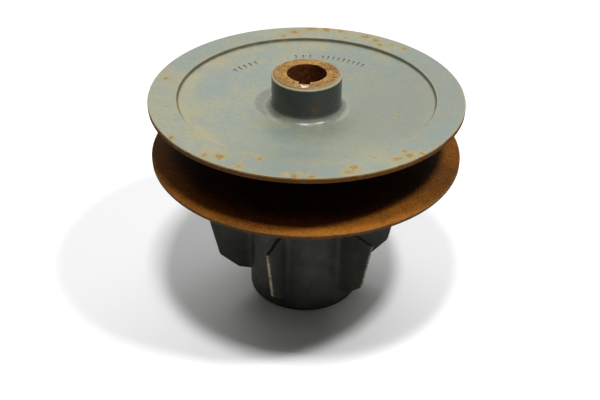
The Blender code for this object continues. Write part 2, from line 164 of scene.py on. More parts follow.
# Where the pot's paint is worn: beside its rim and foot, and along the fins from a height upwards
RIM_WEAR = 1.2 * MM
RIM_WEAR_STRENGTH = 0.7
FIN_WEAR = 0.9 * MM
FIN_WEAR_START = 20 * MM
FIN_WEAR_RISE = 8 * MM

# How fine the meshes are
SEGMENTS = 360
SMALL_SEGMENTS = 192
HOLE_SEGMENTS = 32
ARC_STEP = radians(12)
SUPPORT = 0.5 * MM
LONGEST_STEP = 5 * MM
SHARP_ANGLE = radians(35)
SLIVER = 0.005 * MM
SMALLEST_ROUNDING = 0.02 * MM
LARGEST_REACH = 0.45
FILLET_STEPS = 8
SIDE_STEPS = 10
ROUND_STEPS = 4
BELLY_ROWS = 12
UPPER_ROWS = 28
TOP_ROWS = 3
WIRE_STEPS = 64
WIRE_SIDES = 20
BEVEL_SEGMENTS = 2

# Outer roundings smaller than this are worn
WORN_ROUNDING = 3 * MM


# ---------------------------------------------------------------- turned meshes

def corner_arc(before, here, after, rounding):
    """Points round one corner of a profile, from one straight run to the next."""
    backward = (before - here).normalized()
    forward = (after - here).normalized()
    turn = pi - backward.angle(forward)
    reach = rounding * tan(turn / 2)
    limit = LARGEST_REACH * min((before - here).length, (after - here).length)
    if reach > limit:
        rounding *= limit / reach
        reach = limit
    if rounding < SMALLEST_ROUNDING:
        return [here]
    middle = here + (backward + forward).normalized() * (rounding / cos(turn / 2))
    first = here + backward * reach - middle
    last = here + forward * reach - middle
    begin = atan2(first.y, first.x)
    sweep = (atan2(last.y, last.x) - begin + pi) % (2 * pi) - pi
    steps = max(2, ceil(turn / ARC_STEP))
    angles = [begin + sweep * step / steps for step in range(steps + 1)]
    return [middle + rounding * Vector((cos(angle), sin(angle))) for angle in angles]


def stands_out(before, here, after):
    into = here - before
    out = after - here
    return into.x * out.y - into.y * out.x < 0


def rounded_profile(corners):
    """(radius, height, zone, edge) points round a closed loop of (radius, height, rounding, zone).

    The zone is that of the surface that leaves the corner. Edge is 1 on a small outer rounding.
    """
    count = len(corners)
    places = [Vector(corner[:2]) for corner in corners]
    arcs = []
    for index, corner in enumerate(corners):
        around = (places[index - 1], places[index], places[(index + 1) % count])
        worn = stands_out(*around) and corner[2] < WORN_ROUNDING
        arcs.append((corner_arc(*around, corner[2]), 1.0 if worn else 0.0))
    points = []
    for index, (arc, edge) in enumerate(arcs):
        zone = corners[index][3]
        for step, place in enumerate(arc):
            late = step >= len(arc) // 2
            points.append((place.x, place.y, zone if late else corners[index - 1][3], edge))
        start = arc[-1]
        end = arcs[(index + 1) % count][0][0]
        length = (end - start).length
        if length < 2.5 * SUPPORT:
            continue
        inner = length - 2 * SUPPORT
        pieces = max(1, ceil(inner / LONGEST_STEP))
        for step in range(pieces + 1):
            place = start.lerp(end, (SUPPORT + inner * step / pieces) / length)
            points.append((place.x, place.y, zone, 0.0))
    return points


def make_piece(name, vertices, faces, materials, zones=None, edges=None):
    mesh = bpy.data.meshes.new(name)
    mesh.from_pydata(vertices, [], faces)
    for material in materials:
        mesh.materials.append(material)
    if zones:
        mesh.polygons.foreach_set("material_index", zones)
    if edges:
        layer = mesh.attributes.new("edge", 'FLOAT', 'POINT')
        layer.data.foreach_set("value", edges)
    piece = bpy.data.objects.new(name, mesh)
    bpy.context.scene.collection.objects.link(piece)
    smooth_by_angle(piece)
    return piece


def smooth_by_angle(piece):
    piece.data.shade_smooth()
    piece.data.set_sharp_from_angle(angle=SHARP_ANGLE)
    piece.data.update()


def turned(name, corners, materials, segments=SEGMENTS):
    """Ring-shaped piece from a closed loop of rounded corners, listed down the outer side."""
    points = rounded_profile(corners)
    rows = len(points)
    vertices, faces, zones, edges = [], [], [], []
    for radius, height, zone, edge in points:
        for k in range(segments):
            angle = 2 * pi * k / segments
            vertices.append((radius * cos(angle), radius * sin(angle), height))
            edges.append(edge)
    for row in range(rows):
        following = (row + 1) % rows
        for k in range(segments):
            side = (k + 1) % segments
            faces.append((row * segments + k, following * segments + k,
                          following * segments + side, row * segments + side))
            zones.append(points[row][2])
    return make_piece(name, vertices, faces, materials, zones, edges)


def merge_slivers(mesh):
    """Joins the points that a Boolean leaves within a few micrometres of each other."""
    shape = bmesh.new()
    shape.from_mesh(mesh)
    bmesh.ops.remove_doubles(shape, verts=shape.verts, dist=SLIVER)
    bmesh.ops.dissolve_degenerate(shape, edges=shape.edges, dist=SLIVER)
    shape.to_mesh(mesh)
    shape.free()


def boolean(piece, tool, operation):
    step = piece.modifiers.new("boolean", 'BOOLEAN')
    step.operation = operation
    step.object = tool
    step.material_mode = 'TRANSFER'
    depsgraph = bpy.context.evaluated_depsgraph_get()
    mesh = bpy.data.meshes.new_from_object(piece.evaluated_get(depsgraph))
    piece.modifiers.clear()
    piece.data = mesh
    bpy.data.objects.remove(tool)
    merge_slivers(mesh)
    smooth_by_angle(piece)


def boolean_tool(shape, name, material):
    """Turns a finished bmesh into an object for a Boolean."""
    mesh = bpy.data.meshes.new(name)
    shape.to_mesh(mesh)
    shape.free()
    mesh.materials.append(material)
    tool = bpy.data.objects.new(name, mesh)
    bpy.context.scene.collection.objects.link(tool)
    return tool


def boxes_tool(name, boxes, material):
    """One mesh of separate boxes, each given by its size, its centre and its turn about Z."""
    shape = bmesh.new()
    for size, centre, turn in boxes:
        place = Matrix.Rotation(turn, 4, 'Z') @ Matrix.Translation(centre) @ Matrix.Diagonal((*size, 1))
        bmesh.ops.create_cube(shape, size=1, matrix=place)
    return boolean_tool(shape, name, material)


def box_between(low, high):
    size = [b - a for a, b in zip(low, high)]
    centre = [(a + b) / 2 for a, b in zip(low, high)]
    return size, centre, 0.0


def key_boxes(inner, outer, bottom, top):
    """A box for a drive key on each side of the shaft, between two distances from its axis."""
    boxes = []
    for side in (1, -1):
        near, far = sorted((side * inner, side * outer))
        boxes.append(box_between((near, -KEY_SLOT_HALF_WIDTH, bottom), (far, KEY_SLOT_HALF_WIDTH, top)))
    return boxes


def groove_height(radius, rim, sign):
    """Height of a groove face, which rises (1) or falls (-1) from its rim towards the shaft."""
    return rim + sign * (DISC_RADIUS - radius) * GROOVE_SLOPE


def web_height(radius):
    """Height of the fixed disc's conical web."""
    rise = (FIXED_WEB_OUTER - FIXED_WEB_INNER) / (RECESS_RADIUS - RECESS_STEP - BOSS_RADIUS)
    return FIXED_WEB_INNER + (radius - BOSS_RADIUS) * rise


def settle(piece, body, slot, *nodes):
    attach(piece, body)
    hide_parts(*nodes)


# ---------------------------------------------------------------- shader helpers

class Shader:
    """A Principled material under construction, with object coordinates in metres."""

    def __init__(self, name, roughness=0.5, metallic=0.0, specular=0.5):
        self.material = bpy.data.materials.new(name)
        self.material.use_nodes = True
        self.tree = self.material.node_tree
        self.surface = self.tree.nodes["Principled BSDF"]
        self.surface.inputs["Roughness"].default_value = roughness
        self.surface.inputs["Metallic"].default_value = metallic
        self.surface.inputs["Specular IOR Level"].default_value = specular
        self.place = self.add('ShaderNodeTexCoord').outputs["Object"]
        self.heights = []

    def add(self, kind, **settings):
        node = self.tree.nodes.new(kind)
        for key, value in settings.items():
            setattr(node, key, value)
        return node

    def link(self, value, socket):
        if isinstance(value, bpy.types.NodeSocket):
            self.tree.links.new(value, socket)
        else:
            socket.default_value = value

    def math(self, operation, first, second=0.0):
        node = self.add('ShaderNodeMath', operation=operation)
        self.link(first, node.inputs[0])
        self.link(second, node.inputs[1])
        return node.outputs[0]

    def plus(self, first, second):
        return self.math('ADD', first, second)

    def times(self, first, second):
        return self.math('MULTIPLY', first, second)

    def most(self, first, second):
        return self.math('MAXIMUM', first, second)

    def ramp(self, value, low, high, start=0.0, end=1.0):
        """Eases from start to end while the value goes from low to high."""
        node = self.add('ShaderNodeMapRange', interpolation_type='SMOOTHSTEP')
        self.link(value, node.inputs["Value"])
        node.inputs["From Min"].default_value = low
        node.inputs["From Max"].default_value = high
        node.inputs["To Min"].default_value = start
        node.inputs["To Max"].default_value = end
        return node.outputs[0]

    def noise(self, scale, detail=4.0, roughness=0.55, stretch=None, distortion=0.0):
        node = self.add('ShaderNodeTexNoise')
        node.inputs["Scale"].default_value = scale
        node.inputs["Detail"].default_value = detail
        node.inputs["Roughness"].default_value = roughness
        node.inputs["Distortion"].default_value = distortion
        place = self.place
        if stretch:
            mapping = self.add('ShaderNodeMapping')
            mapping.inputs["Scale"].default_value = stretch
            self.link(place, mapping.inputs["Vector"])
            place = mapping.outputs[0]
        self.link(place, node.inputs["Vector"])
        return node.outputs["Fac"]

    def mask(self, scale, low, high, **settings):
        return self.ramp(self.noise(scale, **settings), low, high)

    def mix(self, factor, first, second):
        node = self.add('ShaderNodeMix', data_type='RGBA')
        self.link(factor, node.inputs[0])
        self.link((*first, 1) if isinstance(first, tuple) else first, node.inputs[6])
        self.link((*second, 1) if isinstance(second, tuple) else second, node.inputs[7])
        return node.outputs[2]

    def blend(self, factor, first, second):
        node = self.add('ShaderNodeMix', data_type='FLOAT')
        self.link(factor, node.inputs[0])
        self.link(first, node.inputs[2])
        self.link(second, node.inputs[3])
        return node.outputs[0]

    def edge(self):
        """1 on the edges that the mesh marks as worn."""
        return self.add('ShaderNodeAttribute', attribute_name="edge").outputs["Fac"]

    def axes(self):
        node = self.add('ShaderNodeSeparateXYZ')
        self.link(self.place, node.inputs[0])
        return node.outputs

    def radius(self):
        x, y, _ = self.axes()
        return self.math('SQRT', self.plus(self.times(x, x), self.times(y, y)))

    def near(self, azimuth, radius, size):
        """1 at this place in plan, falling to 0 at a distance of size."""
        spot = self.add('ShaderNodeVectorMath', operation='DISTANCE')
        flat = self.add('ShaderNodeVectorMath', operation='MULTIPLY')
        self.link(self.place, flat.inputs[0])
        flat.inputs[1].default_value = (1, 1, 0)
        self.link(flat.outputs[0], spot.inputs[0])
        spot.inputs[1].default_value = plan_point(azimuth, radius)
        return self.ramp(spot.outputs["Value"], size, 0.0)

    def bump(self, height, distance, strength):
        self.heights.append((height, distance, strength))

    def finish(self, colour, roughness=None):
        self.link(colour, self.surface.inputs["Base Color"])
        if roughness is not None:
            self.link(roughness, self.surface.inputs["Roughness"])
        normal = None
        for height, distance, strength in self.heights:
            node = self.add('ShaderNodeBump')
            node.inputs["Distance"].default_value = distance
            node.inputs["Strength"].default_value = strength
            self.link(height, node.inputs["Height"])
            if normal:
                self.link(normal, node.inputs["Normal"])
            normal = node.outputs[0]
        if normal:
            self.link(normal, self.surface.inputs["Normal"])
        return self.material


def plan_point(azimuth, radius):
    """Point at an azimuth in degrees, counted from the keyway's side at -Y towards +X."""
    return (radius * sin(radians(azimuth)), -radius * cos(radians(azimuth)), 0.0)


# ---------------------------------------------------------------- materials

# Colours of the painted discs
PAINT_BLUE = (0.128, 0.162, 0.150)
PAINT_GREEN = (0.176, 0.183, 0.128)
PAINT_YELLOW = (0.225, 0.202, 0.105)
# Painted shade, laid on two sides of the top
PAINT_SHADE = (0.096, 0.116, 0.101)
PAINT_CHALK = (0.225, 0.245, 0.225)
PAINT_PITS = (0.070, 0.080, 0.070)
# Dark paint of the boss's side, darkened further as painted shade, and dust over it
BOSS_PAINT_AND_SHADE = (0.042, 0.052, 0.049)
BOSS_DUST_AND_SHADE = (0.062, 0.066, 0.055)
BOSS_BARE = (0.220, 0.195, 0.115)
BOSS_RUST = (0.150, 0.072, 0.018)
TAN = (0.212, 0.184, 0.092)
STAIN = (0.200, 0.163, 0.066)
# Painted shade for the corner at the foot of the recess's step
RECESS_SHADE = (0.066, 0.062, 0.038)
STAMP_DIRT = (0.100, 0.092, 0.066)
STAMP_DUST = (0.165, 0.140, 0.088)
UNDERSIDE_BLUE = (0.105, 0.125, 0.115)
UNDERSIDE_OLIVE = (0.165, 0.160, 0.112)

# Colours of rust and of bare rusty surfaces
RUST_LIGHT = (0.27, 0.094, 0.009)
RUST_MID = (0.165, 0.057, 0.007)
RUST_DARK = (0.043, 0.018, 0.005)
RUST_BRIGHT = (0.220, 0.125, 0.030)
RUST_SPOT = (0.145, 0.082, 0.022)
# Painted shade deep in the groove
GROOVE_SHADE = (0.011, 0.0065, 0.0032)
RIM_PAINT = (0.058, 0.046, 0.022)
RIM_BARE = (0.215, 0.140, 0.055)
FACE_DARK = (0.070, 0.031, 0.007)
FACE_LIGHT = (0.265, 0.140, 0.030)
FACE_PALE = (0.290, 0.165, 0.045)
FACE_STAIN = (0.090, 0.042, 0.009)
FACE_CHIP = (0.60, 0.52, 0.42)
BORE_DARK = (0.045, 0.013, 0.004)
BORE_LIGHT = (0.135, 0.041, 0.010)

# Colours of the spring pot, its paint tones set far darker than the discs' paint as painted shade under
# the discs
POT_SHADED_DARK = (0.020, 0.023, 0.0185)
POT_SHADED_LIGHT = (0.035, 0.0355, 0.0255)
POT_MOTTLE = (0.062, 0.056, 0.038)
POT_SMEAR = (0.052, 0.051, 0.037)
POT_DUST = (0.062, 0.052, 0.034)
POT_BARE = (0.33, 0.28, 0.18)
POT_RUST = (0.14, 0.095, 0.05)

# Dark and light tone of the plain materials, and of the table
STEEL = ((0.17, 0.15, 0.125), (0.30, 0.275, 0.245))
BRIGHT_STEEL = ((0.21, 0.205, 0.19), (0.36, 0.355, 0.335))
OILED_STEEL = ((0.045, 0.045, 0.05), (0.10, 0.10, 0.105))
BRONZE = ((0.30, 0.18, 0.07), (0.52, 0.33, 0.14))
RUBBER = ((0.012, 0.012, 0.012), (0.03, 0.03, 0.03))
TABLE = ((0.80, 0.80, 0.81), (0.82, 0.82, 0.82))

# Azimuth in degrees, radius and size in millimetres of the rust spots on the painted top
TOP_RUST = (
    (-168, 103, 7), (-163, 97, 6), (-176, 109, 10), (178, 110, 9), (172, 108, 7), (160, 105.5, 9),
    (155, 104, 7), (151, 99, 7), (147, 104, 6), (141, 106, 5), (168, 98, 4), (23, 103, 6), (21, 108, 8),
    (45, 101, 4), (45, 107, 7), (40, 106, 6), (49, 110, 5), (2, 109.5, 7), (8, 110, 5), (-17, 108, 6),
    (-26, 104, 7), (-31, 108, 5), (-12, 95, 4), (-48, 110, 4), (77, 68, 3), (-95, 105, 4), (33, 97, 3),
)
# The same of the tan stains
TOP_STAINS = (
    (-60, 88, 22), (-45, 92, 18), (-75, 100, 18), (-90, 92, 18), (-100, 106, 14), (-30, 100, 16),
    (165, 99, 24), (150, 102, 22), (-175, 106, 18), (35, 104, 16), (22, 105, 13), (46, 104, 12),
    (62, 86, 16), (100, 88, 14), (5, 90, 18), (-20, 90, 16), (-140, 98, 16), (-125, 86, 16),
)

# Grains of rust and marks of the lathe in a metre
RUST_GRAIN = 800
TURNING_RINGS = 1400.0

# What the layers of the fixed disc's paint share
Pattern = namedtuple("Pattern", "radius height cloud mottle dust flakes")


def rust_layers(shader):
    """Colour of settled rust, from dark to light grains, and the grains themselves."""
    grain = shader.noise(RUST_GRAIN, detail=6, roughness=0.7)
    cloud = shader.noise(RUST_GRAIN / 12, detail=6, roughness=0.7)
    colour = shader.mix(shader.ramp(grain, 0.26, 0.58), RUST_DARK, RUST_MID)
    fresh = shader.plus(shader.times(grain, 0.6), shader.times(cloud, 0.4))
    return shader.mix(shader.ramp(fresh, 0.44, 0.60), colour, RUST_LIGHT), grain


def largest_near(shader, spots, spread=1.0):
    """1 at each of these places on the top, falling to 0 around them."""
    closest = 0.0
    for azimuth, reach, size in spots:
        closest = shader.most(closest, shader.near(azimuth, reach * MM, size * MM * spread))
    return closest


def mottled_paint(shader, on):
    """Paint that has turned bluer, greener and yellower in places, with dark pits."""
    tone = shader.plus(shader.times(on.cloud, 0.5), shader.times(on.dust, 0.5))
    colour = shader.mix(shader.ramp(tone, 0.42, 0.57), PAINT_BLUE, PAINT_GREEN)
    colour = shader.mix(shader.ramp(on.mottle, 0.40, 0.68, 0.0, 0.50), colour, PAINT_YELLOW)
    return shader.mix(shader.ramp(on.flakes, 0.34, 0.50, 0.42, 0.0), colour, PAINT_PITS)


def dirt_and_recess_shade(shader, on, colour):
    """A film and stains of dirt, pale scuffs, and painted shade darkening the recess's corner."""
    inside = shader.ramp(on.radius, RECESS_RADIUS - 16 * MM, RECESS_RADIUS - 2 * MM)
    ring = shader.times(inside, shader.ramp(on.radius, RECESS_RADIUS + 0.6 * MM, RECESS_RADIUS))
    film = shader.times(ring, shader.ramp(on.dust, 0.30, 0.62))
    stains = shader.times(largest_near(shader, TOP_STAINS), shader.ramp(on.dust, 0.36, 0.62))
    colour = shader.mix(shader.times(film, 0.55), colour, PAINT_YELLOW)
    colour = shader.mix(shader.times(stains, 0.60), colour, TAN)

    streaks = shader.noise(52, detail=2, stretch=(1.0, 26.0, 1.0), distortion=0.4)
    scuffs = shader.times(shader.ramp(streaks, 0.66, 0.71), shader.ramp(on.cloud, 0.44, 0.60))
    colour = shader.mix(shader.times(scuffs, 0.55), colour, PAINT_CHALK)

    # Painted shade: a dark olive line in the corner at the foot of the recess's step, broken up by the
    # mottle
    corner = shader.times(shader.ramp(on.radius, RECESS_RADIUS - 2.2 * MM, RECESS_RADIUS - 0.9 * MM),
                          shader.ramp(on.radius, RECESS_RADIUS + 0.3 * MM, RECESS_RADIUS - 0.1 * MM))
    below = shader.ramp(on.height, FIXED_RIM_TOP - 0.1 * MM, FIXED_RIM_TOP - 0.7 * MM)
    recess_shade = shader.times(shader.times(corner, below), shader.ramp(on.mottle, 0.30, 0.55, 0.55, 0.95))
    return shader.mix(recess_shade, colour, RECESS_SHADE)


def shaded_top(shader, colour):
    """Painted shade: darker paint on the top's side towards +X and on the keyway's side."""
    right = shader.times(shader.near(95, 80 * MM, 135 * MM), 0.62)
    front = shader.times(shader.near(0, 96 * MM, 62 * MM), 0.50)
    return shader.mix(shader.most(right, front), colour, PAINT_SHADE)


def boss_paint_and_shade(shader, on, colour):
    """Dark paint on the boss, darkened further as painted shade on its side, with painted shade in the
    fillet at its foot, bare along its chamfer, with a rusty lip and patch.

    Returns the colour and where the chamfer is bare.
    """
    boss = shader.times(shader.ramp(on.height, TOTAL_HEIGHT - 1.2 * MM, TOTAL_HEIGHT - 1.9 * MM),
                        shader.ramp(on.radius, BOSS_RADIUS + 0.8 * MM, BOSS_RADIUS + 0.1 * MM))
    # Painted shade in the fillet at the boss's foot, strongest next to the boss
    fillet = shader.ramp(on.radius, BOSS_RADIUS + BOSS_FILLET, BOSS_RADIUS + 1.5 * MM, 0.0, 0.2)
    colour = shader.mix(fillet, colour, BOSS_PAINT_AND_SHADE)
    # The boss's side: dirty dark paint, made darker still as painted shade, with dust over it
    dusty = shader.mix(shader.ramp(on.dust, 0.4, 0.62), BOSS_PAINT_AND_SHADE, BOSS_DUST_AND_SHADE)
    colour = shader.mix(boss, colour, dusty)
    chamfer = shader.times(shader.ramp(on.height, TOTAL_HEIGHT - 1.9 * MM, TOTAL_HEIGHT - 1.3 * MM),
                           shader.ramp(on.flakes, 0.34, 0.54))
    colour = shader.mix(chamfer, colour, BOSS_BARE)
    lip = shader.times(shader.ramp(on.height, TOTAL_HEIGHT - 1.0 * MM, TOTAL_HEIGHT - 0.6 * MM),
                       shader.ramp(on.dust, 0.34, 0.50))
    patch = shader.times(shader.near(20, BOSS_RADIUS, 5 * MM), shader.ramp(on.flakes, 0.40, 0.60))
    patch = shader.times(patch, shader.ramp(on.height, TOTAL_HEIGHT - 12 * MM, TOTAL_HEIGHT - 16 * MM))
    patch = shader.times(patch, shader.ramp(on.height, TOTAL_HEIGHT - 20 * MM, TOTAL_HEIGHT - 17 * MM))
    return shader.mix(shader.most(lip, patch), colour, BOSS_RUST), chamfer


def rusty_spots(shader, on, colour):
    """Rust with stained halos at the listed places and along the worn edges, and loose specks.

    Returns the colour and where the rust is.
    """
    broken = shader.ramp(shader.noise(190, detail=7, roughness=0.7, distortion=0.6), 0.38, 0.64)
    flaked = shader.ramp(on.flakes, 0.36, 0.64)
    blotch = shader.plus(shader.times(broken, 0.5), shader.times(flaked, 0.4))
    halo = shader.plus(shader.times(largest_near(shader, TOP_RUST, 1.7), 0.9), blotch)
    colour = shader.mix(shader.ramp(halo, 0.80, 1.15, 0.0, 0.85), colour, STAIN)
    colour = shader.mix(shader.times(shader.edge(), shader.ramp(on.dust, 0.30, 0.60)), colour, TAN)
    worn = shader.times(shader.edge(), 0.42)
    spots = shader.plus(shader.most(largest_near(shader, TOP_RUST), worn), blotch)
    specks = shader.times(shader.ramp(on.flakes, 0.69, 0.74), shader.ramp(on.dust, 0.48, 0.60))
    rust = shader.most(shader.ramp(spots, 1.06, 1.40), specks)
    grains = shader.mix(shader.ramp(on.flakes, 0.36, 0.60), RUST_SPOT, RUST_BRIGHT)
    return shader.mix(rust, colour, grains), rust


def disc_paint():
    """Weathered paint of the fixed disc with painted shade on its boss, in its recess's corner and on
    two sides of its top; bumpier and duller away from the boss.
    """
    shader = Shader("weathered_disc_paint_and_shade", specular=0.32)
    on = Pattern(
        radius=shader.radius(),
        height=shader.axes()[2],
        cloud=shader.noise(16, detail=6, roughness=0.6),
        mottle=shader.noise(230, detail=8, roughness=0.75),
        dust=shader.noise(42, detail=7, roughness=0.7),
        flakes=shader.noise(420, detail=6, roughness=0.75),
    )
    colour = dirt_and_recess_shade(shader, on, mottled_paint(shader, on))
    colour, chamfer = boss_paint_and_shade(shader, on, shaded_top(shader, colour))
    colour, rust = rusty_spots(shader, on, colour)

    shader.bump(shader.noise(60, detail=4), 0.25 * MM, 0.30)
    rough = shader.ramp(on.radius, BOSS_RADIUS + 3 * MM, BOSS_RADIUS + 12 * MM, 0.25, 1.0)
    shader.bump(shader.times(on.mottle, rough), 0.12 * MM, 0.45)
    shader.bump(rust, 0.12 * MM, 0.6)
    dull = shader.ramp(on.radius, BOSS_RADIUS + 4 * MM, BOSS_RADIUS + 8 * MM, 0.62, 1.0)
    dull = shader.times(shader.ramp(on.mottle, 0.3, 0.8, 0.40, 0.60), dull)
    dull = shader.blend(chamfer, dull, 0.75)
    return shader.finish(colour, shader.blend(rust, dull, 0.9))


def stamped_recess():
    """Dirt in the stamped bars."""
    shader = Shader("stamped_recess", roughness=0.8)
    return shader.finish(shader.mix(shader.noise(240, detail=5), STAMP_DIRT, STAMP_DUST))


def underside_paint():
    """Paint under the sliding disc, dull and stained by rust."""
    shader = Shader("underside_paint", roughness=0.65)
    grain = shader.noise(210, detail=7, roughness=0.7)
    cloud = shader.noise(30, detail=7, roughness=0.7)
    colour = shader.mix(shader.ramp(cloud, 0.42, 0.58), UNDERSIDE_BLUE, UNDERSIDE_OLIVE)
    colour = shader.mix(shader.ramp(grain, 0.42, 0.70, 0.0, 0.5), colour, PAINT_YELLOW)
    stain = shader.plus(shader.noise(46, detail=6, roughness=0.7), shader.times(shader.edge(), 0.2))
    rust = shader.mix(shader.ramp(grain, 0.4, 0.65), RUST_DARK, RUST_MID)
    colour = shader.mix(shader.ramp(stain, 0.58, 0.68), colour, rust)
    shader.bump(shader.noise(70, detail=4), 0.3 * MM, 0.4)
    shader.bump(grain, 0.12 * MM, 0.4)
    return shader.finish(colour)


def groove_rust():
    """Rust on the groove's faces, brighter near the rim where the belt ran and as painted light towards
    azimuth 22°, with painted shade at azimuths 72° and -80°, and painted shade deepening to nearly black
    towards the sleeve.
    """
    shader = Shader("rusted_groove_face_light_and_shade", specular=0.06)
    colour, grain = rust_layers(shader)
    radius = shader.radius()
    # Belt wear near the rim, strengthened towards azimuth 22° as painted light
    worn = shader.times(shader.ramp(radius, 98 * MM, 110 * MM),
                        shader.mask(300, 0.25, 0.65, detail=7, roughness=0.7))
    worn = shader.times(worn, shader.blend(shader.near(22, 106 * MM, 60 * MM), 0.25, 1.0))
    colour = shader.mix(worn, colour, RUST_LIGHT)
    # Painted shade on the groove's faces at azimuths 72° and -80°
    side_shade = shader.most(shader.times(shader.near(72, 108 * MM, 62 * MM), 0.50),
                      shader.times(shader.near(-80, 108 * MM, 70 * MM), 0.65))
    colour = shader.mix(side_shade, colour, RUST_DARK)
    # Painted shade deepening into the groove, nearly black towards the sleeve
    colour = shader.mix(shader.ramp(radius, 105 * MM, 92 * MM, 0.0, 0.85), colour, GROOVE_SHADE)
    rings = shader.add('ShaderNodeTexNoise', noise_dimensions='1D')
    shader.link(shader.times(radius, TURNING_RINGS), rings.inputs["W"])
    rings.inputs["Scale"].default_value = 1.0
    shader.bump(grain, 0.15 * MM, 0.6)
    shader.bump(rings.outputs["Fac"], 0.05 * MM, 0.3)
    return shader.finish(colour, shader.ramp(grain, 0.3, 0.7, 0.9, 0.7))


def rim_edge():
    """The discs' rusty outer edges, rubbed bare along the top of each."""
    shader = Shader("bare_rim_edge", roughness=0.85, specular=0.08)
    colour, grain = rust_layers(shader)
    colour = shader.mix(0.55, colour, RUST_DARK)
    paint = shader.mask(140, 0.50, 0.60, detail=6)
    colour = shader.mix(shader.times(paint, 0.5), colour, RIM_PAINT)
    height = shader.axes()[2]
    fixed = shader.ramp(height, FIXED_RIM_TOP - 1.5 * MM, FIXED_RIM_TOP - 0.6 * MM)
    sliding = shader.times(shader.ramp(height, SLIDING_RIM_TOP + MM, SLIDING_RIM_TOP),
                           shader.ramp(height, SLIDING_RIM_TOP - 1.2 * MM, SLIDING_RIM_TOP - 0.5 * MM))
    rubbed = shader.mask(190, 0.30, 0.56, detail=6, roughness=0.7)
    colour = shader.mix(shader.times(shader.most(fixed, sliding), rubbed), colour, RIM_BARE)
    shader.bump(grain, 0.15 * MM, 0.6)
    return shader.finish(colour)


def machined_face():
    """The rusty turned face around the bore, chipped bright beside the keyway."""
    shader = Shader("rusty_turned_face", specular=0.12)
    grain = shader.noise(600, detail=8, roughness=0.75)
    cloud = shader.noise(85, detail=7, roughness=0.7)
    colour = shader.mix(shader.ramp(grain, 0.38, 0.60), FACE_DARK, FACE_LIGHT)
    colour = shader.mix(shader.ramp(cloud, 0.50, 0.62, 0.0, 0.6), colour, FACE_PALE)
    colour = shader.mix(shader.ramp(cloud, 0.47, 0.38, 0.0, 0.75), colour, FACE_STAIN)
    chips = shader.times(shader.near(-3, 22.5 * MM, 8 * MM), shader.mask(420, 0.50, 0.56, detail=5))
    colour = shader.mix(chips, colour, FACE_CHIP)
    shader.bump(grain, 0.12 * MM, 0.5)
    return shader.finish(colour, shader.ramp(grain, 0.3, 0.7, 0.75, 0.5))


def bore_rust():
    shader = Shader("dark_rusty_bore", roughness=0.85, specular=0.08)
    grain = shader.noise(300, detail=7, roughness=0.7)
    colour = shader.mix(shader.ramp(grain, 0.35, 0.7), BORE_DARK, BORE_LIGHT)
    shader.bump(grain, 0.1 * MM, 0.5)
    return shader.finish(colour)


def pot_paint():
    """Dark paint like the discs', its tones set far darker as painted shade under the discs, smeared,
    dusty near the foot, and worn off the fins' outer edges.
    """
    shader = Shader("dull_pot_paint_and_shade", specular=0.3)
    cloud = shader.noise(22, detail=5, roughness=0.6)
    mottle = shader.noise(190, detail=7, roughness=0.7)
    flakes = shader.noise(330, detail=6, roughness=0.75)
    # Painted shade: the pot's base tones, far darker than the discs' paint
    colour = shader.mix(shader.ramp(cloud, 0.38, 0.64), POT_SHADED_DARK, POT_SHADED_LIGHT)
    colour = shader.mix(shader.ramp(mottle, 0.50, 0.80, 0.0, 0.5), colour, POT_MOTTLE)
    smears = shader.ramp(shader.noise(55, detail=7, roughness=0.7), 0.46, 0.66, 0.0, 0.6)
    colour = shader.mix(smears, colour, POT_SMEAR)
    dusty = shader.ramp(shader.axes()[2], 9 * MM, 0.0)
    dusty = shader.times(dusty, shader.ramp(mottle, 0.38, 0.62, 0.0, 0.6))
    colour = shader.mix(dusty, colour, POT_DUST)
    wear = shader.blend(shader.near(-14, 68 * MM, 45 * MM), 0.54, 0.64)
    worn = shader.ramp(shader.plus(shader.times(shader.edge(), wear), flakes), 0.98, 1.14)
    metal = shader.mix(shader.ramp(mottle, 0.4, 0.7), POT_BARE, POT_RUST)
    colour = shader.mix(worn, colour, metal)
    shader.bump(shader.noise(70, detail=4), 0.3 * MM, 0.4)
    shader.bump(mottle, 0.15 * MM, 0.4)
    shader.bump(worn, -0.1 * MM, 0.6)
    return shader.finish(colour, shader.blend(worn, shader.ramp(mottle, 0.3, 0.8, 0.50, 0.70), 0.8))


def plain_metal(name, tones, roughness, metallic, rust=0.0):
    """Fine-grained material between two tones. More rust spreads a film of it further."""
    shader = Shader(name, roughness, metallic)
    grain = shader.noise(240, detail=6, roughness=0.65)
    colour = shader.mix(shader.ramp(grain, 0.35, 0.7), *tones)
    if rust:
        film = shader.mask(90, 0.60 - rust, 0.78 - rust, detail=6)
        colour = shader.mix(film, colour, RUST_MID)
    shader.bump(grain, 0.04 * MM, 0.4)
    return shader.finish(colour, shader.ramp(grain, 0.3, 0.7, roughness, min(1.0, roughness + 0.15)))


# ---------------------------------------------------------------- pieces

STAMP_RADIUS = 70 * MM
STAMP_SIZE = (1.2 * MM, 4.4 * MM, 1.2 * MM)
STAMP_LIFT = 0.15 * MM
# First and last azimuth in degrees, and number, of each row of plain bars stamped in the web
STAMP_ROWS = ((-140, -124, 5), (-176, -167, 3), (149, 176, 9))


def stamp_bars(piece, material):
    height = web_height(STAMP_RADIUS) + STAMP_LIFT
    boxes = []
    for first, last, count in STAMP_ROWS:
        for index in range(count):
            azimuth = radians(first + (last - first) * index / (count - 1))
            boxes.append((STAMP_SIZE, (0, -STAMP_RADIUS, height), azimuth))
    boolean(piece, boxes_tool("stamps", boxes, material), 'DIFFERENCE')


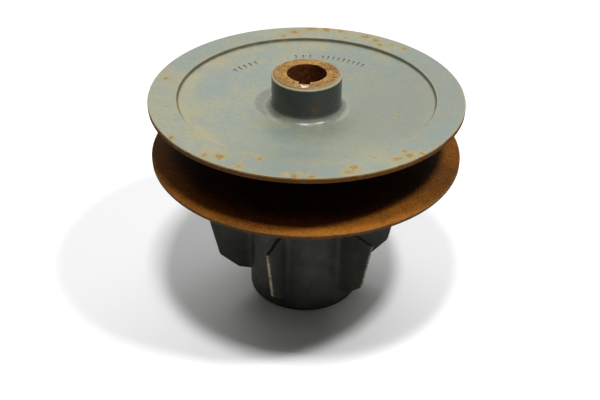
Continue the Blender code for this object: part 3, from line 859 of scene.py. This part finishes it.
def build_fixed_disc(materials):
    paint, rust, edge, face, recess = range(5)
    bore = SLEEVE_RADIUS + PRESS_GAP
    flat = groove_height(HUB_FLAT_RADIUS, FIXED_RIM_BOTTOM, -1)
    corners = [
        (bore, TOTAL_HEIGHT, 0, face),
        (BOSS_RADIUS - CHAMFER_WIDTH, TOTAL_HEIGHT, 0.3 * MM, paint),
        (BOSS_RADIUS, TOTAL_HEIGHT - CHAMFER_DROP, 0.5 * MM, paint),
        (BOSS_RADIUS, FIXED_WEB_INNER, BOSS_FILLET, paint),
        (RECESS_RADIUS - RECESS_STEP, FIXED_WEB_OUTER, 0.7 * MM, paint),
        (RECESS_RADIUS, FIXED_RIM_TOP, 0.5 * MM, paint),
        (DISC_RADIUS, FIXED_RIM_TOP, 0.7 * MM, edge),
        (DISC_RADIUS, FIXED_RIM_BOTTOM, 0.5 * MM, rust),
        (HUB_FLAT_RADIUS, flat, 0.6 * MM, rust),
        (bore, flat, 0, rust),
    ]
    piece = turned("fixed_disc_casting", corners, materials)
    stamp_bars(piece, materials[recess])
    settle(piece, FIXED, "disc_paint", "fixed_disc")


def build_hub_sleeve(materials):
    steel, face, bore = range(3)
    low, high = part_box("hub_sleeve")
    corners = [
        (SHAFT_RADIUS, high.z, 0.6 * MM, face),
        (SLEEVE_RADIUS, high.z, 0.05 * MM, steel),
        (SLEEVE_RADIUS, SLEEVE_SHOULDER, 0.4 * MM, steel),
        (SLEEVE_END_RADIUS, SLEEVE_SHOULDER, 0.3 * MM, steel),
        (SLEEVE_END_RADIUS, RING_GROOVE_TOP, 0.1 * MM, steel),
        (RING_GROOVE_RADIUS, RING_GROOVE_TOP, 0.1 * MM, steel),
        (RING_GROOVE_RADIUS, RING_GROOVE_BOTTOM, 0.1 * MM, steel),
        (SLEEVE_END_RADIUS, RING_GROOVE_BOTTOM, 0.1 * MM, steel),
        (SLEEVE_END_RADIUS, low.z, 0.6 * MM, face),
        (SHAFT_RADIUS, low.z, 0.6 * MM, bore),
    ]
    piece = turned("keyed_sleeve", corners, materials, SMALL_SEGMENTS)
    keyway = box_between((-KEYWAY_WIDTH / 2, -SHAFT_RADIUS - KEYWAY_DEPTH, low.z - MM),
                         (KEYWAY_WIDTH / 2, -SHAFT_RADIUS / 2, high.z + MM))
    boolean(piece, boxes_tool("keyway", [keyway], materials[bore]), 'DIFFERENCE')
    grooves = key_boxes(SLEEVE_RADIUS - DRIVE_GROOVE_DEPTH, SLEEVE_RADIUS + CUT_OVERRUN,
                        DRIVE_GROOVE_BOTTOM, DRIVE_GROOVE_TOP)
    boolean(piece, boxes_tool("drive_grooves", grooves, materials[steel]), 'DIFFERENCE')
    settle(piece, FIXED, "machined_steel", "hub_sleeve")


def build_sliding_disc(materials):
    paint, rust, edge, steel = range(4)
    flat = groove_height(HUB_FLAT_RADIUS, SLIDING_RIM_TOP, 1)
    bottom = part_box("sliding_disc")[0].z
    corners = [
        (WIPER_SEAT_RADIUS, flat, 0.3 * MM, rust),
        (HUB_FLAT_RADIUS, flat, 0.6 * MM, rust),
        (DISC_RADIUS, SLIDING_RIM_TOP, 0.5 * MM, edge),
        (DISC_RADIUS, SLIDING_RIM_BOTTOM, 0.7 * MM, paint),
        (RECESS_RADIUS, SLIDING_RIM_BOTTOM, 0.5 * MM, paint),
        (RECESS_RADIUS - RECESS_STEP, SLIDING_WEB_OUTER, 0.7 * MM, paint),
        (COLLAR_RADIUS, SLIDING_WEB_INNER, 3 * MM, paint),
        (COLLAR_RADIUS, COLLAR_BOTTOM, 0.5 * MM, steel),
        (SLIDING_HUB_RADIUS, COLLAR_BOTTOM, 0.8 * MM, steel),
        (SLIDING_HUB_RADIUS, bottom, 0.8 * MM, steel),
        (WIPER_SEAT_RADIUS, bottom, 0.3 * MM, steel),
        (WIPER_SEAT_RADIUS, bottom + WIPER_SEAT_DEPTH, 0.1 * MM, steel),
        (BUSH_SEAT_RADIUS, bottom + WIPER_SEAT_DEPTH, 0.1 * MM, steel),
        (BUSH_SEAT_RADIUS, bottom + BUSH_SEAT_DEPTH, 0.1 * MM, steel),
        (HUB_CLEARANCE_RADIUS, bottom + BUSH_SEAT_DEPTH, 0.1 * MM, steel),
        (HUB_CLEARANCE_RADIUS, flat - BUSH_SEAT_DEPTH, 0.1 * MM, steel),
        (BUSH_SEAT_RADIUS, flat - BUSH_SEAT_DEPTH, 0.1 * MM, steel),
        (BUSH_SEAT_RADIUS, flat - WIPER_SEAT_DEPTH, 0.1 * MM, steel),
        (WIPER_SEAT_RADIUS, flat - WIPER_SEAT_DEPTH, 0.1 * MM, steel),
    ]
    piece = turned("sliding_disc_casting", corners, materials)
    pockets = key_boxes(SLEEVE_RADIUS, KEY_POCKET_RADIUS, KEY_POCKET_BOTTOM, KEY_POCKET_TOP)
    boolean(piece, boxes_tool("key_pockets", pockets, materials[steel]), 'DIFFERENCE')
    boolean(piece, screw_holes(materials[steel]), 'DIFFERENCE')
    settle(piece, SLIDING, "rusted_iron", "sliding_disc")


def screw_holes(material):
    """Flat-bottomed holes for the screws' heads in the hub's outer wall, two on each side."""
    shape = bmesh.new()
    outward = Matrix.Translation((0, 0, (SCREW_HOLE_START + SCREW_HOLE_END) / 2))
    for side in (1, -1):
        for height in SCREW_HEIGHTS:
            place = Matrix.Translation((0, 0, height)) @ Matrix.Rotation(side * pi / 2, 4, 'Y') @ outward
            bmesh.ops.create_cone(shape, cap_ends=True, segments=HOLE_SEGMENTS,
                                  radius1=SCREW_HOLE_RADIUS, radius2=SCREW_HOLE_RADIUS,
                                  depth=SCREW_HOLE_END - SCREW_HOLE_START, matrix=place)
    return boolean_tool(shape, "screw_holes", material)


def fin_edge_radius(height):
    """Radius of a fin's outer edge, straight between its corners."""
    for (low, near), (high, far) in zip(FIN_EDGE, FIN_EDGE[1:]):
        if height <= high:
            break
    return near + (far - near) * (height - low) / (high - low)


def fin_reach(height):
    """Radius of a fin's outer edge with its corners eased a little."""
    samples = [fin_edge_radius(height + step * FIN_EASE) for step in range(-3, 4)]
    return sum(samples) / len(samples)


def fin_half_section(reach, inset):
    """Half a fin's section in plan, from its root in the pot's wall to its outer edge."""
    stand = reach - POT_RADIUS
    fillet = min(FIN_FILLET, 0.6 * stand)
    rounding = min(FIN_ROUND, 0.3 * stand)
    side = FIN_HALF_ROOT + fillet
    centre = Vector((sqrt((POT_RADIUS - FILLET_BITE + fillet) ** 2 - side ** 2), side))
    touch = atan2(centre.y, centre.x)
    points = [FIN_ROOT_RADIUS * Vector((cos(touch), sin(touch)))]
    for step in range(FILLET_STEPS + 1):
        angle = touch + pi + (pi / 2 - touch) * step / FILLET_STEPS
        points.append(centre + (fillet + inset) * Vector((cos(angle), sin(angle))))
    outward = stand / (FIN_EDGE[-1][1] - POT_RADIUS)
    half = FIN_HALF_ROOT + (FIN_HALF_TIP - FIN_HALF_ROOT) * outward - inset
    start = points[-1]
    corner = Vector((reach - inset - rounding, half))
    points += [start.lerp(corner, step / SIDE_STEPS) for step in range(1, SIDE_STEPS + 1)]
    for step in range(1, ROUND_STEPS + 1):
        angle = pi / 2 * step / ROUND_STEPS
        points.append(corner + rounding * Vector((sin(angle), cos(angle) - 1)))
    return points


def steps_between(start, end, count):
    return [start + (end - start) * step / count for step in range(count + 1)]


def fin_rows():
    """Sections of a fin, from its foot inside the wall up to its rounded top."""
    straight = FIN_TOP - FIN_ROUND
    levels = [(height, 0.0) for height in steps_between(FIN_FOOT, FIN_BELLY, BELLY_ROWS)[:-1]]
    levels += [(height, 0.0) for height in steps_between(FIN_BELLY, straight, UPPER_ROWS)]
    for step in range(1, TOP_ROWS + 1):
        angle = pi / 2 * step / TOP_ROWS
        levels.append((straight + FIN_ROUND * sin(angle), FIN_ROUND * (1 - cos(angle))))
    rows = []
    for height, inset in levels:
        half = fin_half_section(fin_reach(height), inset)
        outline = half + [Vector((point.x, -point.y)) for point in reversed(half)]
        rows.append([(point.x, point.y, height) for point in outline])
    foot = []
    for u, v, height in rows[0]:
        shrink = min(1.0, FIN_ROOT_RADIUS / sqrt(u * u + v * v))
        foot.append((u * shrink, v * shrink, height - FIN_FOOT_DROP))
    return [foot] + rows


def fins_tool(material):
    rows = fin_rows()
    columns = len(rows[0])
    shape = bmesh.new()
    for index in range(FIN_COUNT):
        turn = Matrix.Rotation(FIN_START + 2 * pi * index / FIN_COUNT - pi / 2, 4, 'Z')
        rings = [[shape.verts.new(turn @ Vector(point)) for point in row] for row in rows]
        for lower, upper in zip(rings, rings[1:]):
            for k in range(columns):
                side = (k + 1) % columns
                shape.faces.new((lower[k], lower[side], upper[side], upper[k]))
        shape.faces.new(rings[0][::-1])
        shape.faces.new(rings[-1])
    bmesh.ops.recalc_face_normals(shape, faces=shape.faces)
    return boolean_tool(shape, "fins", material)


def pot_wear(place):
    """1 on the fins' outer edges, less on the pot's rim and foot, and 0 away from both."""
    radius = sqrt(place.x ** 2 + place.y ** 2)
    if radius < POT_RADIUS + 2 * MM:
        ends = min(abs(place.z - POT_RIM), abs(place.z))
        strength = RIM_WEAR_STRENGTH if radius > POT_INNER_RADIUS else 0.0
        return strength * max(0.0, 1 - ends / RIM_WEAR)
    spacing = 2 * pi / FIN_COUNT
    azimuth = atan2(place.x, -place.y) - FIN_START
    off = (azimuth + spacing / 2) % spacing - spacing / 2
    outer = fin_reach(place.z) - radius * cos(off)
    along = min(1.0, max(0.0, (place.z - FIN_WEAR_START) / FIN_WEAR_RISE))
    return along * max(0.0, 1 - outer / FIN_WEAR)


def build_spring_pot(material):
    corners = [
        (POT_INNER_RADIUS, POT_RIM, 0.8 * MM, 0),
        (POT_RADIUS, POT_RIM, 0.9 * MM, 0),
        (POT_RADIUS, 0, 1.4 * MM, 0),
        (POT_RECESS_RADIUS, 0, 0.6 * MM, 0),
        (POT_RECESS_RADIUS, POT_FLOOR_BOTTOM, 1.2 * MM, 0),
        (WASHER_INNER, POT_FLOOR_BOTTOM, 0.3 * MM, 0),
        (WASHER_INNER, POT_FLOOR_TOP, 0.3 * MM, 0),
        (POT_INNER_RADIUS, POT_FLOOR_TOP, 1.2 * MM, 0),
    ]
    piece = turned("spring_pot_casting", corners, [material], SMALL_SEGMENTS)
    boolean(piece, fins_tool(material), 'UNION')
    layer = piece.data.attributes["edge"]
    layer.data.foreach_set("value", [pot_wear(vertex.co) for vertex in piece.data.vertices])
    settle(piece, FIXED, "pot_paint", "spring_pot")


def spring_height(turns, bottom, top):
    """Height of the wire after this many turns, with a closer pitch at both ends."""
    middle_turns = SPRING_TURNS - 2 * END_TURNS
    middle_pitch = (top - bottom - 2 * END_TURNS * END_PITCH) / middle_turns
    height = bottom + min(turns, END_TURNS) * END_PITCH
    height += max(0, min(turns - END_TURNS, middle_turns)) * middle_pitch
    return height + max(0, turns - END_TURNS - middle_turns) * END_PITCH


def build_spring(material):
    low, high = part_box("compression_spring")
    bottom, top = low.z + WIRE_RADIUS, high.z - WIRE_RADIUS
    count = round(SPRING_TURNS * WIRE_STEPS)
    vertices, faces = [], []
    for index in range(count + 1):
        angle = 2 * pi * index / WIRE_STEPS
        height = spring_height(index / WIRE_STEPS, bottom, top)
        outward = Vector((cos(angle), sin(angle), 0))
        for k in range(WIRE_SIDES):
            turn = 2 * pi * k / WIRE_SIDES
            place = outward * (SPRING_RADIUS + WIRE_RADIUS * cos(turn))
            vertices.append((place.x, place.y, height + WIRE_RADIUS * sin(turn)))
    for index in range(count):
        near, far = index * WIRE_SIDES, (index + 1) * WIRE_SIDES
        for k in range(WIRE_SIDES):
            side = (k + 1) % WIRE_SIDES
            faces.append((near + k, far + k, far + side, near + side))
    faces.append(tuple(range(WIRE_SIDES)))
    faces.append(tuple(range(count * WIRE_SIDES, (count + 1) * WIRE_SIDES))[::-1])
    piece = make_piece("coil_spring", vertices, faces, [material])
    settle(piece, FIXED, "spring_steel", "compression_spring")
    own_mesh(piece)


def build_ring(node, inner, rounding, material, body, slot):
    """Turned ring over the box of a CAD ring with this inner radius."""
    low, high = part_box(node)
    corners = [(inner, high.z), (high.x, high.z), (high.x, low.z), (inner, low.z)]
    corners = [(radius, height, rounding, 0) for radius, height in corners]
    piece = turned(f"turned_{node}", corners, [material], SMALL_SEGMENTS)
    settle(piece, body, slot, node)


def dress(node, material, rounding=0.3 * MM):
    """Keeps a CAD part's shape, with softened edges and this material."""
    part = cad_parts[node]
    weld = part.modifiers.new("weld", 'WELD')
    weld.merge_threshold = SLIVER
    bevel = part.modifiers.new("soft_edges", 'BEVEL')
    bevel.width = rounding
    bevel.segments = BEVEL_SEGMENTS
    bevel.limit_method = 'ANGLE'
    bevel.angle_limit = SHARP_ANGLE
    bevel.harden_normals = True
    part.material_slots[0].material = material


# ---------------------------------------------------------------- studio

# Name, place, target, size and power of each light
LIGHT_TARGET = (0, 0, 0.12)
LIGHTS = (
    ("right_softbox", (0.40, -0.15, 1.0), LIGHT_TARGET, (0.10, 0.10), 6.6),
    ("overhead_softbox", (-0.02, -0.28, 1.5), LIGHT_TARGET, (0.20, 0.20), 15.5),
    ("backdrop_softbox", (-0.2, 1.7, 1.5), (-0.1, 1.1, 0), (3.2, 1.2), 30.0),
)

# The walls brighten from one strength to the other between these two parts of the way to +Y
WALL_RANGE = (-0.3, 0.8)
WALL_STRENGTHS = (0.04, 0.55)
TABLE_SIZE = 16


def area_light(name, place, target, size, power):
    data = bpy.data.lights.new(name, 'AREA')
    data.shape = 'RECTANGLE'
    data.size, data.size_y = size
    data.energy = power
    light = bpy.data.objects.new(name, data)
    light.location = place
    light.rotation_euler = (Vector(target) - Vector(place)).to_track_quat('-Z', 'Y').to_euler()
    bpy.context.scene.collection.objects.link(light)


def add_lights():
    for light in LIGHTS:
        area_light(*light)


def add_world():
    """Dim studio walls, palest behind the pulley."""
    world = bpy.data.worlds.new("studio")
    world.use_nodes = True
    tree = world.node_tree
    background = tree.nodes["Background"]
    background.inputs["Color"].default_value = (1, 1, 1, 1)
    place = tree.nodes.new('ShaderNodeTexCoord')
    axes = tree.nodes.new('ShaderNodeSeparateXYZ')
    fade = tree.nodes.new('ShaderNodeMapRange')
    fade.interpolation_type = 'SMOOTHSTEP'
    fade.inputs["From Min"].default_value = WALL_RANGE[0]
    fade.inputs["From Max"].default_value = WALL_RANGE[1]
    fade.inputs["To Min"].default_value = WALL_STRENGTHS[0]
    fade.inputs["To Max"].default_value = WALL_STRENGTHS[1]
    tree.links.new(place.outputs["Generated"], axes.inputs[0])
    tree.links.new(axes.outputs["Y"], fade.inputs["Value"])
    tree.links.new(fade.outputs[0], background.inputs["Strength"])
    bpy.context.scene.world = world


def add_floor():
    shader = Shader("white_table", roughness=0.9)
    cloud = shader.noise(3, detail=3)
    material = shader.finish(shader.mix(cloud, *TABLE))
    bpy.ops.mesh.primitive_plane_add(size=TABLE_SIZE)
    floor = bpy.context.object
    floor.name = "table_top"
    floor.data.materials.append(material)


def add_camera():
    data = bpy.data.cameras.new("camera")
    data.lens = CAMERA_LENS
    data.sensor_width = SENSOR_WIDTH
    camera = bpy.data.objects.new("camera", data)
    aim = Vector(CAMERA_TARGET) - Vector(CAMERA_PLACE)
    turn = aim.to_track_quat('-Z', 'Y').to_matrix().to_4x4() @ Matrix.Rotation(CAMERA_ROLL, 4, 'Z')
    camera.matrix_world = Matrix.Translation(CAMERA_PLACE) @ turn
    bpy.context.scene.collection.objects.link(camera)
    bpy.context.scene.camera = camera


# ---------------------------------------------------------------- the whole pulley

def build_pulley():
    paint = disc_paint()
    rust = groove_rust()
    edge = rim_edge()
    face = machined_face()
    steel = plain_metal("turned_steel", STEEL, 0.42, 0.8, rust=0.09)
    bright = plain_metal("plated_steel", BRIGHT_STEEL, 0.40, 0.85, rust=0.04)
    dark_steel = plain_metal("oiled_spring_steel", OILED_STEEL, 0.38, 0.7)
    bronze = plain_metal("sintered_bronze", BRONZE, 0.45, 0.9)
    rubber = plain_metal("black_rubber", RUBBER, 0.75, 0.0)

    build_fixed_disc([paint, rust, edge, face, stamped_recess()])
    build_hub_sleeve([steel, face, bore_rust()])
    build_sliding_disc([underside_paint(), rust, edge, steel])
    build_spring_pot(pot_paint())
    build_spring(dark_steel)
    build_ring("stop_ring", STOP_INNER, 1.2 * MM, rubber, FIXED, "rubber")
    build_ring("support_washer", WASHER_INNER, 0.3 * MM, bright, FIXED, "plated_steel")
    build_ring("spring_seat_lower", SEAT_INNER, 0.4 * MM, bright, FIXED, "plated_steel")
    build_ring("spring_seat_upper", SEAT_INNER, 0.4 * MM, bright, SLIDING, "plated_steel")

    dress("retaining_ring", dark_steel, 0.15 * MM)
    for end in ("upper", "lower"):
        dress(f"guide_bush_{end}", bronze)
        dress(f"wiper_ring_{end}", rubber)
        for side in ("right", "left"):
            dress(f"key_screw_{side}_{end}", dark_steel, 0.15 * MM)
    for side in ("right", "left"):
        dress(f"drive_key_{side}", bright)


build_pulley()
add_floor()
add_lights()
add_world()
add_camera()
bpy.context.scene.view_settings.view_transform = 'Standard'
